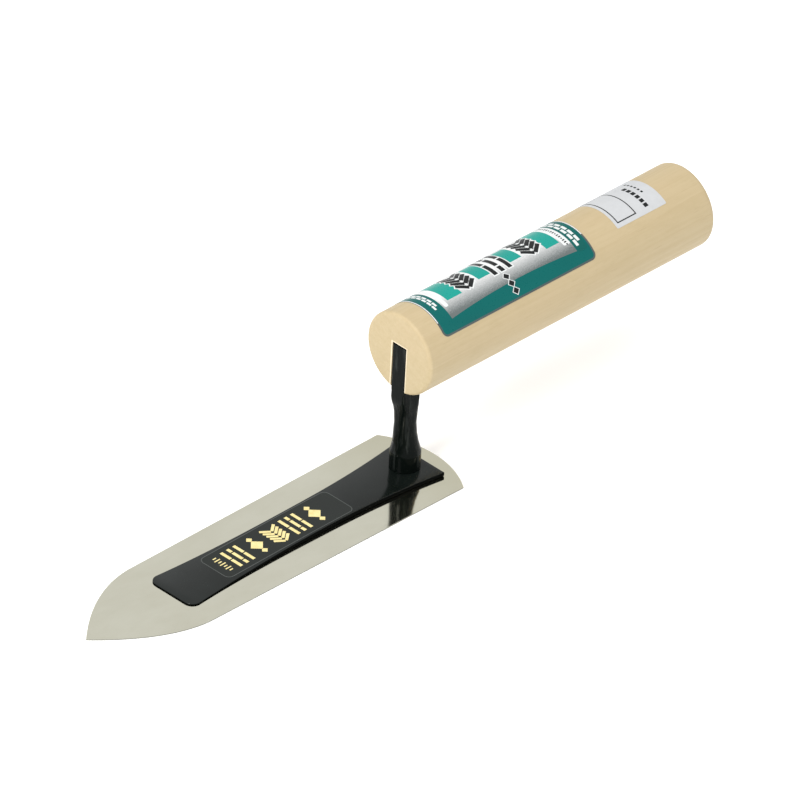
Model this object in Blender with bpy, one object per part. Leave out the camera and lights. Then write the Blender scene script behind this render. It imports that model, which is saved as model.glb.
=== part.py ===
"""Plastering trowel: thin sword-point blade, bonded back plate, forged neck and round wooden handle.

Metres, +Z up. The origin is on the blade's flat underside, directly below the middle of the neck's foot.
+X runs back towards the handle's butt, the blade's tip points to -X, and the tool is mirrored in Y.
"""

import math

import bmesh
import bpy
from mathutils import Matrix, Vector

MM = 0.001

# Fits
FIT_GAP = 0.3 * MM  # clearance where one piece is let into another
GLUE_GAP = 0.05 * MM  # adhesive under a bonded or stuck-on layer

# Blade: one flat sheet
BLADE_LENGTH = 165.0 * MM
BLADE_THICK = 0.3 * MM
BLADE_REAR_X = 14.2 * MM  # the middle of the arched heel
HEEL_HALF_WIDTH = 20.75 * MM
HEEL_ARCH = 6.6 * MM
POINT_LENGTH = 40.5 * MM
POINT_HALF_WIDTH = 19.9 * MM
POINT_POWER = 1.88  # below 2 gives a straighter point than a parabola
POINT_STEPS = 14
HEEL_STEPS = 20

# Back plate: waisted in plan, and thinner towards the tip
PLATE_FRONT_X = -111.2 * MM
PLATE_REAR_X = 7.3 * MM
PLATE_WAIST_X = -49.8 * MM
PLATE_WAIST = 8.03 * MM  # half-width at the waist
PLATE_FRONT_FLARE = 2.75 * MM
PLATE_REAR_FLARE = 3.7 * MM
PLATE_FLARE_POWERS = (2.0, 2.3)  # front, rear
PLATE_CORNER = 3.5 * MM
PLATE_FRONT_TOP = 0.85 * MM  # height of its top over the ground
PLATE_REAR_TOP = 1.95 * MM
PLATE_TAPER_END_X = -40.0 * MM
PLATE_ARRIS = 0.25 * MM
PLATE_STATIONS = 24
BOND_THICK = 0.15 * MM
BOND_INSET = 0.4 * MM

# Neck: one forging
FOOT_RADIUS = 5.45 * MM
TENON_RADIUS = 3.0 * MM
NECK_SIDES = 32
BAR_FRONT_X = -5.45 * MM
BAR_DEPTH = 7.1 * MM
BAR_HALF_WIDTH = 3.2 * MM
BAR_TOP_Z = 53.4 * MM
NECK_ARRIS = 0.4 * MM
TANG_LENGTH = 52.0 * MM  # behind the bar's rear face
TANG_MIDDLE_Z = 50.3 * MM
TANG_ROOT_HALF = (2.95 * MM, 3.0 * MM)  # in Y and Z
TANG_TIP_HALF = (1.9 * MM, 1.9 * MM)

# Handle: a turned cylinder
HANDLE_RADIUS = 15.35 * MM
HANDLE_AXIS_Z = 50.3 * MM
HANDLE_FRONT_X = -5.6 * MM
HANDLE_BUTT_X = 130.9 * MM
HANDLE_SIDES = 72
FRONT_RIM = 1.2 * MM
BUTT_RIM = 2.0 * MM
RIM_STEPS = 4
SLOT_HALF_WIDTH = 3.3 * MM
SLOT_CEILING_Z = 53.7 * MM
BORE_SPARE = 30.0 * MM  # bored past the tang's end
BORE_HALF = (3.25 * MM, 3.3 * MM)  # in Y and Z

# Labels: (front x, rear x), (far edge, near edge) in steps of the handle's facets from its top line
HANDLE_LABEL_X = (3.2 * MM, 76.0 * MM)
HANDLE_LABEL_FACETS = (-16, 11)
NAME_LABEL_X = (89.4 * MM, 112.8 * MM)
NAME_LABEL_FACETS = (-10, 7)
LABEL_THICK = 0.12 * MM
LABEL_CORNER = 2.2 * MM

# Sticker on the back plate
STICKER_X = (-90.8 * MM, -30.8 * MM)
STICKER_HALF_WIDTH = 7.4 * MM
STICKER_CORNER = 2.4 * MM
STICKER_THICK = 0.1 * MM
CORNER_STEPS = 5


def clear_scene() -> None:
    """Remove every object that the file starts with."""
    for obj in list(bpy.data.objects):
        bpy.data.objects.remove(obj, do_unlink=True)


def finish(name: str, color: tuple, roughness: float, metallic: float) -> bpy.types.Material:
    """A plain Principled material."""
    mat = bpy.data.materials.new(name)
    mat.use_nodes = True
    shader = mat.node_tree.nodes["Principled BSDF"]
    shader.inputs["Base Color"].default_value = (*color, 1.0)
    shader.inputs["Roughness"].default_value = roughness
    shader.inputs["Metallic"].default_value = metallic
    return mat


def add_object(name: str, bm: bmesh.types.BMesh, mat: bpy.types.Material, smooth_deg: float = 30):
    """Turn a finished bmesh into a named object."""
    bmesh.ops.recalc_face_normals(bm, faces=bm.faces)
    mesh = bpy.data.meshes.new(name)
    bm.to_mesh(mesh)
    bm.free()
    mesh.shade_smooth()
    mesh.set_sharp_from_angle(angle=math.radians(smooth_deg))
    mesh.materials.append(mat)
    obj = bpy.data.objects.new(name, mesh)
    bpy.context.scene.collection.objects.link(obj)
    return obj


def add_cutter(name: str, bm: bmesh.types.BMesh) -> bpy.types.Object:
    """A body that shapes another one and is no piece of the tool."""
    obj = add_object(name, bm, bpy.data.materials["cutter"])
    obj.hide_render = True
    obj.display_type = "WIRE"
    return obj


def combine(obj: bpy.types.Object, other: bpy.types.Object, operation: str) -> None:
    """Add a Boolean modifier to obj."""
    mod = obj.modifiers.new(f"{operation.lower()}_{other.name}", "BOOLEAN")
    mod.operation = operation
    mod.solver = "EXACT"
    mod.object = other


def box(x: tuple, y: tuple, z: tuple) -> bmesh.types.BMesh:
    """A box from its low and high limits."""
    bm = bmesh.new()
    size = Vector((x[1] - x[0], y[1] - y[0], z[1] - z[0]))
    middle = Vector((x[0] + x[1], y[0] + y[1], z[0] + z[1])) / 2
    bmesh.ops.create_cube(bm, size=1.0, matrix=Matrix.Translation(middle) @ Matrix.Diagonal((*size, 1.0)))
    return bm


def loft(rings: list) -> bmesh.types.BMesh:
    """A closed skin over rings that all have the same number of points."""
    bm = bmesh.new()
    rows = [[bm.verts.new(p) for p in ring] for ring in rings]
    count = len(rows[0])
    for low, high in zip(rows, rows[1:]):
        for i in range(count):
            j = (i + 1) % count
            bm.faces.new((low[i], low[j], high[j], high[i]))
    bm.faces.new(reversed(rows[0]))
    bm.faces.new(rows[-1])
    return bm


def mirrored(side: list) -> list:
    """A closed outline from its +Y side, listed from the tip end to the heel end."""
    other = [(x, -y) for x, y in reversed(side) if y > 1e-9]
    return side + other


def slab(outline: list, bottom: float, top: float) -> bmesh.types.BMesh:
    """A flat plate between two heights."""
    return loft([[(x, y, z) for x, y in outline] for z in (bottom, top)])


# Blade


def blade_outline() -> list:
    """The sword point, the nearly parallel sides and the arched heel."""
    tip_x = BLADE_REAR_X - BLADE_LENGTH
    side = []
    for i in range(POINT_STEPS + 1):
        t = (i / POINT_STEPS) ** 1.2
        side.append((tip_x + POINT_LENGTH * t, POINT_HALF_WIDTH * (1 - (1 - t) ** POINT_POWER)))
    arch_radius = (HEEL_HALF_WIDTH**2 + HEEL_ARCH**2) / (2 * HEEL_ARCH)
    arch_half_angle = math.asin(HEEL_HALF_WIDTH / arch_radius)
    for i in range(HEEL_STEPS // 2 + 1):
        a = arch_half_angle * (1 - 2 * i / HEEL_STEPS)
        y = arch_radius * math.sin(a)
        side.append((BLADE_REAR_X - arch_radius * (1 - math.cos(a)), y))
    return mirrored(side)


def make_blade(mat: bpy.types.Material) -> None:
    """The blade."""
    add_object("blade", slab(blade_outline(), 0.0, BLADE_THICK), mat)


# Back plate and its layers


def plate_half_width(x: float) -> float:
    """Half-width of the waisted plate at x."""
    front_power, rear_power = PLATE_FLARE_POWERS
    if x < PLATE_WAIST_X:
        along = (PLATE_WAIST_X - x) / (PLATE_WAIST_X - PLATE_FRONT_X)
        return PLATE_WAIST + PLATE_FRONT_FLARE * along**front_power
    along = (x - PLATE_WAIST_X) / (PLATE_REAR_X - PLATE_WAIST_X)
    return PLATE_WAIST + PLATE_REAR_FLARE * along**rear_power


def plate_top(x: float) -> float:
    """Height of the plate's top at x: level at the heel, and easing down to the thin front."""
    t = (x - PLATE_FRONT_X) / (PLATE_TAPER_END_X - PLATE_FRONT_X)
    t = min(max(t, 0.0), 1.0)
    return PLATE_FRONT_TOP + (PLATE_REAR_TOP - PLATE_FRONT_TOP) * t * t * (3 - 2 * t)


def station_xs(first: float, last: float) -> list:
    """The plate's own cross-sections between two places, with those two places added."""
    step = (PLATE_REAR_X - PLATE_FRONT_X) / PLATE_STATIONS
    own = [PLATE_FRONT_X + step * i for i in range(PLATE_STATIONS + 1)]
    return [first] + [x for x in own if first + step / 8 < x < last - step / 8] + [last]


def level_between_stations(x: float) -> float:
    """The plate's top at x, straight between its cross-sections as the faceted solid has it."""
    step = (PLATE_REAR_X - PLATE_FRONT_X) / PLATE_STATIONS
    i = min(int((x - PLATE_FRONT_X) / step), PLATE_STATIONS - 1)
    x0 = PLATE_FRONT_X + step * i
    t = (x - x0) / step
    return plate_top(x0) * (1 - t) + plate_top(x0 + step) * t


def rounded_front_half_width(x: float, front: float, corner: float, half_width: float) -> float:
    """Half-width once the front corner is rounded off."""
    inside = front + corner - x
    if inside <= 0:
        return half_width
    return half_width - corner + math.sqrt(max(corner**2 - inside**2, 0.0))


def corner_xs(front: float, corner: float) -> list:
    """Cross-sections that round a front corner evenly."""
    return [front + corner * (1 - math.cos(math.pi / 2 * i / CORNER_STEPS)) for i in range(CORNER_STEPS)]


def strip_xs(front: float, rear: float, corner: float) -> list:
    """Every cross-section of a strip with rounded front corners."""
    bend = corner_xs(front, corner)
    return bend + station_xs(front + corner, rear)


def strip(xs: list, half_width, bottom, top, arris: float = 0.0) -> bmesh.types.BMesh:
    """A long strip lofted along X from its half-width and its bottom and top heights at each place."""
    rings = []
    for x in xs:
        w, low, high = half_width(x), bottom(x), top(x)
        rings.append([
            (x, -w, low),
            (x, w, low),
            (x, w, high - arris),
            (x, w - arris, high),
            (x, -w + arris, high),
            (x, -w, high - arris),
        ])
    bm = loft(rings)
    bmesh.ops.remove_doubles(bm, verts=bm.verts, dist=1e-7)
    return bm


def make_tenon_hole(name: str) -> bpy.types.Object:
    """The round hole that the neck's tenon goes through."""
    bm = bmesh.new()
    radius = TENON_RADIUS + FIT_GAP
    bmesh.ops.create_cone(
        bm,
        cap_ends=True,
        segments=NECK_SIDES,
        radius1=radius,
        radius2=radius,
        depth=PLATE_REAR_TOP * 2,
        matrix=Matrix.Translation((0, 0, PLATE_REAR_TOP / 2)),
    )
    return add_cutter(name, bm)


def make_plate_layers(paint: bpy.types.Material, glue: bpy.types.Material) -> None:
    """The bond film and the back plate, both pierced for the tenon."""
    bond_low = BLADE_THICK + GLUE_GAP
    plate_low = bond_low + BOND_THICK + GLUE_GAP
    hole = make_tenon_hole("tenon_hole")

    def film_width(x: float) -> float:
        front = PLATE_FRONT_X + BOND_INSET
        return rounded_front_half_width(x, front, PLATE_CORNER, plate_half_width(x) - BOND_INSET)

    xs = strip_xs(PLATE_FRONT_X + BOND_INSET, PLATE_REAR_X - BOND_INSET, PLATE_CORNER)
    film = strip(xs, film_width, lambda x: bond_low, lambda x: bond_low + BOND_THICK)
    combine(add_object("bond_film", film, glue), hole, "DIFFERENCE")

    def plate_width(x: float) -> float:
        return rounded_front_half_width(x, PLATE_FRONT_X, PLATE_CORNER, plate_half_width(x))

    xs = strip_xs(PLATE_FRONT_X, PLATE_REAR_X, PLATE_CORNER)
    plate = strip(xs, plate_width, lambda x: plate_low, level_between_stations, PLATE_ARRIS)
    combine(add_object("back_plate", plate, paint), hole, "DIFFERENCE")


def make_plate_sticker(mat: bpy.types.Material) -> None:
    """The thin printed sticker on the plate."""
    front, rear = STICKER_X

    def width(x: float) -> float:
        return rounded_front_half_width(x, front, STICKER_CORNER, STICKER_HALF_WIDTH)

    def low(x: float) -> float:
        return level_between_stations(x) + GLUE_GAP

    xs = strip_xs(front, rear, STICKER_CORNER)
    add_object("plate_sticker", strip(xs, width, low, lambda x: low(x) + STICKER_THICK), mat)


# Neck


def rounded_section(z: float, centre_x: float, half_depth: float, half_width: float, power: float) -> list:
    """A ring of the stem. A power of 2 is round, and a larger one is squarer."""
    ring = []
    for i in range(NECK_SIDES):
        a = 2 * math.pi * (i + 0.5) / NECK_SIDES
        c, s = math.cos(a), math.sin(a)
        x = centre_x + half_depth * math.copysign(abs(c) ** (2 / power), c)
        y = half_width * math.copysign(abs(s) ** (2 / power), s)
        ring.append((x, y, z))
    return ring


def make_neck(mat: bpy.types.Material) -> None:
    """Tenon, round foot, waisted stem and square bar in one, with the tang turned back from the bar."""
    foot_z = PLATE_REAR_TOP + FIT_GAP
    foot = FOOT_RADIUS
    bar = BAR_DEPTH / 2
    bar_x = BAR_FRONT_X + bar
    # height, centre x, half depth, half width, squareness
    stations = [
        (BLADE_THICK + FIT_GAP, 0.0, TENON_RADIUS, TENON_RADIUS, 2.0),
        (foot_z, 0.0, TENON_RADIUS, TENON_RADIUS, 2.0),
        (foot_z, 0.0, foot - NECK_ARRIS, foot - NECK_ARRIS, 2.0),
        (foot_z + NECK_ARRIS, 0.0, foot, foot, 2.0),
        (8.6 * MM, 0.0, foot, foot, 2.0),
        (9.7 * MM, -0.05 * MM, 5.1 * MM, 5.1 * MM, 2.0),
        (12.5 * MM, -0.25 * MM, 4.4 * MM, 4.4 * MM, 2.1),
        (16.0 * MM, -0.65 * MM, 4.0 * MM, 3.9 * MM, 2.3),
        (20.5 * MM, -0.8 * MM, 3.6 * MM, 3.5 * MM, 2.6),
        (25.0 * MM, -0.8 * MM, 3.65 * MM, 3.5 * MM, 3.2),
        (27.2 * MM, -0.95 * MM, 3.75 * MM, 3.6 * MM, 3.8),
        (29.5 * MM, -1.3 * MM, bar + 0.4 * MM, 3.5 * MM, 6.0),
        (31.2 * MM, -1.43 * MM, bar + 0.45 * MM, 3.35 * MM, 9.0),
        (34.0 * MM, -1.45 * MM, bar + 0.45 * MM, BAR_HALF_WIDTH, 12.0),
        (34.6 * MM, bar_x, bar, BAR_HALF_WIDTH, 14.0),
        (BAR_TOP_Z - NECK_ARRIS, bar_x, bar, BAR_HALF_WIDTH, 14.0),
        (BAR_TOP_Z, bar_x, bar - NECK_ARRIS, BAR_HALF_WIDTH - NECK_ARRIS, 14.0),
    ]
    neck = add_object("neck", loft([rounded_section(*station) for station in stations]), mat, 40)

    root_x = BAR_FRONT_X + BAR_DEPTH
    rings = []
    for x, (half_y, half_z) in (
        (bar_x, TANG_ROOT_HALF),
        (root_x, TANG_ROOT_HALF),
        (root_x + TANG_LENGTH, TANG_TIP_HALF),
    ):
        low, high = TANG_MIDDLE_Z - half_z, TANG_MIDDLE_Z + half_z
        rings.append([(x, -half_y, low), (x, half_y, low), (x, half_y, high), (x, -half_y, high)])
    combine(neck, add_cutter("tang", loft(rings)), "UNION")


# Handle


def make_handle(mat: bpy.types.Material) -> None:
    """The turned cylinder with its neck slot and blind tang bore."""
    profile = [(HANDLE_FRONT_X, HANDLE_RADIUS - FRONT_RIM)]
    for i in range(1, RIM_STEPS + 1):
        a = math.pi / 2 * i / RIM_STEPS
        profile.append((
            HANDLE_FRONT_X + FRONT_RIM * (1 - math.cos(a)),
            HANDLE_RADIUS - FRONT_RIM * (1 - math.sin(a)),
        ))
    for i in range(RIM_STEPS + 1):
        a = math.pi / 2 * i / RIM_STEPS
        profile.append((
            HANDLE_BUTT_X - BUTT_RIM * (1 - math.sin(a)),
            HANDLE_RADIUS - BUTT_RIM * (1 - math.cos(a)),
        ))
    rings = []
    for x, radius in profile:
        turns = [2 * math.pi * i / HANDLE_SIDES for i in range(HANDLE_SIDES)]
        rings.append([(x, -radius * math.sin(t), HANDLE_AXIS_Z + radius * math.cos(t)) for t in turns])
    handle = add_object("handle", loft(rings), mat)

    slot_rear = BAR_FRONT_X + BAR_DEPTH + FIT_GAP
    below = HANDLE_AXIS_Z - HANDLE_RADIUS * 1.2
    slot = box(
        (HANDLE_FRONT_X - HANDLE_RADIUS, slot_rear),
        (-SLOT_HALF_WIDTH, SLOT_HALF_WIDTH),
        (below, SLOT_CEILING_Z),
    )
    combine(handle, add_cutter("neck_slot", slot), "DIFFERENCE")

    half_y, half_z = BORE_HALF
    bore = box(
        (slot_rear - BAR_DEPTH / 2, slot_rear + TANG_LENGTH + BORE_SPARE),
        (-half_y, half_y),
        (TANG_MIDDLE_Z - half_z, TANG_MIDDLE_Z + half_z),
    )
    combine(handle, add_cutter("tang_bore", bore), "DIFFERENCE")


def wrapped_label(name: str, span_x: tuple, facets: tuple, mat: bpy.types.Material) -> None:
    """A label bent round the handle, facet for facet, with rounded corners."""
    inner = HANDLE_RADIUS + GLUE_GAP
    outer = inner + LABEL_THICK
    step = 2 * math.pi / HANDLE_SIDES
    front, rear = span_x
    rows = []
    for facet in range(facets[0], facets[1] + 1):
        from_edge = min(facet - facets[0], facets[1] - facet) * inner * step
        inside = max(LABEL_CORNER - from_edge, 0.0)
        trim = LABEL_CORNER - math.sqrt(LABEL_CORNER**2 - inside**2)
        rows.append((facet * step, front + trim, rear - trim))
    rings = []
    for angle, low_x, high_x in rows:
        sin_a, cos_a = math.sin(angle), math.cos(angle)
        ring = []
        for x, radius in ((low_x, inner), (high_x, inner), (high_x, outer), (low_x, outer)):
            ring.append((x, -radius * sin_a, HANDLE_AXIS_Z + radius * cos_a))
        rings.append(ring)
    add_object(name, loft(rings), mat)


def main() -> None:
    """Build every piece."""
    clear_scene()
    finish("cutter", (0.5, 0.1, 0.1), 0.5, 0.0)
    steel = finish("polished_steel", (0.58, 0.57, 0.48), 0.12, 1.0)
    plate_paint = finish("plate_paint", (0.012, 0.013, 0.012), 0.15, 0.0)
    neck_paint = finish("neck_paint", (0.01, 0.011, 0.011), 0.2, 0.0)
    wood = finish("pale_wood", (0.75, 0.58, 0.35), 0.45, 0.0)
    glue = finish("bond_glue", (0.3, 0.28, 0.22), 0.4, 0.0)
    foil = finish("label_foil", (0.01, 0.2, 0.16), 0.3, 0.0)
    paper = finish("label_paper", (0.75, 0.77, 0.85), 0.6, 0.0)
    print_film = finish("gold_print", (0.9, 0.78, 0.35), 0.35, 0.0)
    make_blade(steel)
    make_plate_layers(plate_paint, glue)
    make_plate_sticker(print_film)
    make_neck(neck_paint)
    make_handle(wood)
    wrapped_label("handle_label", HANDLE_LABEL_X, HANDLE_LABEL_FACETS, foil)
    wrapped_label("name_label", NAME_LABEL_X, NAME_LABEL_FACETS, paper)


main()
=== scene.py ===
"""Looks of a sword-point plastering trowel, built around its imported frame.

Metres, +Z up. +X runs back along the handle, the blade's tip points to -X and +Y is the far side.
Each sub-assembly reads its place from the frame, makes its own meshes and dresses them.
"""

from __future__ import annotations

import logging
import math
from dataclasses import dataclass
from enum import Enum
from typing import Iterable

import bmesh
import bpy
from bmesh.types import BMEdge, BMesh, BMVert
from bpy.types import Material, Node, NodeSocket
from mathutils import Matrix, Vector

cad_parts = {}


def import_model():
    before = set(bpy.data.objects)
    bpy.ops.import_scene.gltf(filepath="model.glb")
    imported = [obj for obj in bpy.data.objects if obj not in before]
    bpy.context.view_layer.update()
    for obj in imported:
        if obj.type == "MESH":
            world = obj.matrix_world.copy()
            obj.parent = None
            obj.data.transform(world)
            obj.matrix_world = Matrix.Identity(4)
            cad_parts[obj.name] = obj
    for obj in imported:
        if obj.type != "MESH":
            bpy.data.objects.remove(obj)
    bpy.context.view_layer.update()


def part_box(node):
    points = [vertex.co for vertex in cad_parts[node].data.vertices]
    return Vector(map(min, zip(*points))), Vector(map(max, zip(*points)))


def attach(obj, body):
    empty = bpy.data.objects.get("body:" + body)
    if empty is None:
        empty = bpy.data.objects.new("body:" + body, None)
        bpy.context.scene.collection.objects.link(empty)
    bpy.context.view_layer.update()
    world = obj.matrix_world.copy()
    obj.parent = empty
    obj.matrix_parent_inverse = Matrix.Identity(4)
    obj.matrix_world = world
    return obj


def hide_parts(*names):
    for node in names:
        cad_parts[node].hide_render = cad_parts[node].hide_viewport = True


LOG = logging.getLogger("trowel")
MM = 0.001

Color = tuple[float, float, float]
Point = tuple[float, float]
Triple = tuple[float, float, float]

EVEN = (1.0, 1.0, 1.0)  # a pattern that is not stretched
FULL = (0.0, 1.0)
NOISE_CORE = (0.3, 0.7)  # where nearly all values of a noise lie

WELD = 1e-6  # points closer than this become one
FINE_WELD = 1e-7
SLIVER = 1e-8  # shorter edges are dissolved
ROUNDING = 1e-9


# Materials


class NodeSheet:
    """One material's node tree, filled by short calls."""

    def __init__(self, name: str) -> None:
        """Start a material with a Principled shader.

        Args:
            name: the material's name.
        """
        self.material = bpy.data.materials.new(name)
        self.material.use_nodes = True
        self.tree = self.material.node_tree
        self.shader = self.tree.nodes["Principled BSDF"]

    def add(self, kind: str, inputs: dict | None = None, **settings: object) -> Node:
        """Add a node.

        Args:
            kind: the node's Blender type.
            inputs: socket name or number to a value, or to the socket it is linked from.
            **settings: the node's own properties.

        Returns:
            The new node.
        """
        node = self.tree.nodes.new(kind)
        for name, value in settings.items():
            setattr(node, name, value)
        for name, value in (inputs or {}).items():
            self.feed(node, name, value)
        return node

    def feed(self, node: Node, name: str | int, value: object) -> None:
        """Set a socket, or link it when the value is another socket.

        Args:
            node: the node whose socket it is.
            name: the socket's name or number.
            value: a plain value or an output socket.
        """
        if isinstance(value, NodeSocket):
            self.tree.links.new(value, node.inputs[name])
        else:
            node.inputs[name].default_value = value

    def shade(self, **values: object) -> None:
        """Set or link sockets of the shader, named with _ for a space."""
        for name, value in values.items():
            self.feed(self.shader, name.replace("_", " "), value)

    def place(self, scale: Triple = EVEN) -> NodeSocket:
        """The piece's own coordinates, stretched.

        Args:
            scale: the stretch along X, Y and Z.

        Returns:
            A vector socket.
        """
        coords = self.add("ShaderNodeTexCoord")
        mapping = self.add("ShaderNodeMapping", {"Vector": coords.outputs["Object"], "Scale": scale})
        return mapping.outputs["Vector"]

    def noise(
        self, vector: NodeSocket, scale: float, detail: float = 3.0, rough: float = 0.5
    ) -> NodeSocket:
        """A noise between 0 and 1 over a vector socket."""
        settings = {"Vector": vector, "Scale": scale, "Detail": detail, "Roughness": rough}
        return self.add("ShaderNodeTexNoise", settings).outputs["Fac"]

    def remap(self, value: NodeSocket, source: Point, target: Point, kind: str = "LINEAR") -> NodeSocket:
        """Move a value from one range to another and clamp it.

        Args:
            value: the socket to read.
            source: the range read.
            target: the range given.
            kind: the interpolation.

        Returns:
            A value socket.
        """
        inputs = {"Value": value, 1: source[0], 2: source[1], 3: target[0], 4: target[1]}
        return self.add("ShaderNodeMapRange", inputs, interpolation_type=kind).outputs["Result"]

    def math(self, operation: str, first: object, second: object = 0.0) -> NodeSocket:
        """One step of arithmetic."""
        return self.add("ShaderNodeMath", {0: first, 1: second}, operation=operation).outputs[0]

    def mix(self, share: object, first: object, second: object) -> NodeSocket:
        """Blend two colours.

        Args:
            share: how much of the second colour.
            first: a colour or socket.
            second: a colour or socket.

        Returns:
            A colour socket.
        """
        first, second = (with_alpha(c) if isinstance(c, tuple) else c for c in (first, second))
        node = self.add("ShaderNodeMix", data_type="RGBA")
        for number, value in ((0, share), (6, first), (7, second)):
            self.feed(node, number, value)
        return node.outputs[2]

    def bump(self, layers: Iterable[tuple]) -> None:
        """Give the shader a bumpy normal.

        Args:
            layers: pairs of a height socket and its depth in metres, laid one over another.
        """
        normal = None
        for height, depth in layers:
            node = self.add("ShaderNodeBump", {"Height": height, "Distance": depth, "Strength": 1.0})
            if normal is not None:
                self.feed(node, "Normal", normal)
            normal = node.outputs["Normal"]
        self.feed(self.shader, "Normal", normal)


def with_alpha(color: Color) -> tuple:
    """A colour with full opacity added."""
    return (*color, 1.0)


@dataclass(frozen=True)
class PolishedSteel:
    """Thin stainless sheet, polished lengthways to a soft mirror."""

    color: Color = (0.790, 0.778, 0.650)
    dull: Color = (0.742, 0.727, 0.597)
    # a darker, warmer tone eased in along X towards the heel
    heel_tone: Color = (0.670, 0.640, 0.480)
    heel_tone_x: Point = (-30.0 * MM, 12.0 * MM)
    roughness: Point = (0.055, 0.13)
    line_stretch: Triple = (14.0, 1800.0, 1800.0)
    haze_stretch: Triple = (40.0, 75.0, 75.0)
    sway_stretch: Triple = (9.0, 22.0, 22.0)
    sway_depth: float = 0.16 * MM
    line_depth: float = 0.0016 * MM

    def build(self) -> Material:
        """Mix the finish.

        Returns:
            The finished material.
        """
        sheet = NodeSheet("polished_steel")
        lines = sheet.noise(sheet.place(self.line_stretch), 1.0, 4.0, 0.6)
        haze = sheet.noise(sheet.place(self.haze_stretch), 1.0, 5.0, 0.62)
        sway = sheet.noise(sheet.place(self.sway_stretch), 1.0, 1.0)
        cloudy = sheet.remap(haze, (0.38, 0.68), FULL)
        axes = sheet.add("ShaderNodeSeparateXYZ", {"Vector": sheet.place()})
        heel_tone = sheet.remap(axes.outputs["X"], self.heel_tone_x, (0.0, 0.65), "SMOOTHSTEP")
        sheet.shade(
            Metallic=1.0,
            Base_Color=sheet.mix(heel_tone, sheet.mix(cloudy, self.color, self.dull), self.heel_tone),
            Roughness=sheet.remap(sheet.mix(0.45, haze, lines), NOISE_CORE, self.roughness),
        )
        sheet.bump([(sway, self.sway_depth), (lines, self.line_depth)])
        return sheet.material


@dataclass(frozen=True)
class ShearedSteel:
    """The sheet's cut edge with fine upright score marks, its colour darkened as painted shade."""

    # dark colours: painted shade on the thin cut edge
    color: Color = (0.14, 0.14, 0.13)
    bright: Color = (0.30, 0.30, 0.28)
    score_stretch: Triple = (1500.0, 1500.0, 90.0)
    score_depth: float = 0.02 * MM

    def build(self) -> Material:
        """Mix the finish.

        Returns:
            The finished material.
        """
        sheet = NodeSheet("sheared_steel")
        scores = sheet.noise(sheet.place(self.score_stretch), 1.0, 3.0)
        sheet.shade(
            Metallic=1.0,
            Base_Color=sheet.mix(sheet.remap(scores, (0.35, 0.75), FULL), self.color, self.bright),
            Roughness=sheet.remap(scores, NOISE_CORE, (0.4, 0.6)),
        )
        sheet.bump([(scores, self.score_depth)])
        return sheet.material


@dataclass(frozen=True)
class BlackEnamel:
    """Black gloss paint over steel: bumpy streaks follow the metal under it, and lighter colour along them
    is a painted highlight.
    """

    name: str
    color: Color = (0.0042, 0.0062, 0.0052)
    # lighter colour along the streaks: painted highlight
    streak_highlight: Color = (0.0075, 0.0105, 0.0095)
    dust: Color = (0.10, 0.10, 0.095)
    stretch: Triple = (60.0, 60.0, 60.0)
    streak_range: Point = (0.35, 0.7)
    streak_depth: float = 0.01 * MM
    peel_scale: float = 700.0
    peel_depth: float = 0.0022 * MM
    grit_scale: float = 2600.0
    roughness: Point = (0.10, 0.2)
    specular: float = 0.42

    def build(self) -> Material:
        """Mix the finish.

        Returns:
            The finished material.
        """
        sheet = NodeSheet(self.name)
        streaks = sheet.noise(sheet.place(self.stretch), 1.0, 3.0, 0.55)
        peel = sheet.noise(sheet.place(), self.peel_scale, 2.0)
        grit = sheet.noise(sheet.place(), self.grit_scale, 1.0)
        specks = sheet.remap(grit, (0.74, 0.80), (0.0, 0.35))
        # the paint lightened along the streaks as a painted highlight
        paint_and_highlight = sheet.mix(sheet.remap(streaks, self.streak_range, FULL), self.color, self.streak_highlight)
        sheet.shade(
            Base_Color=sheet.mix(specks, paint_and_highlight, self.dust),
            Roughness=sheet.remap(streaks, NOISE_CORE, self.roughness),
            Specular_IOR_Level=self.specular,
        )
        sheet.bump([(streaks, self.streak_depth), (peel, self.peel_depth)])
        return sheet.material


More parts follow.
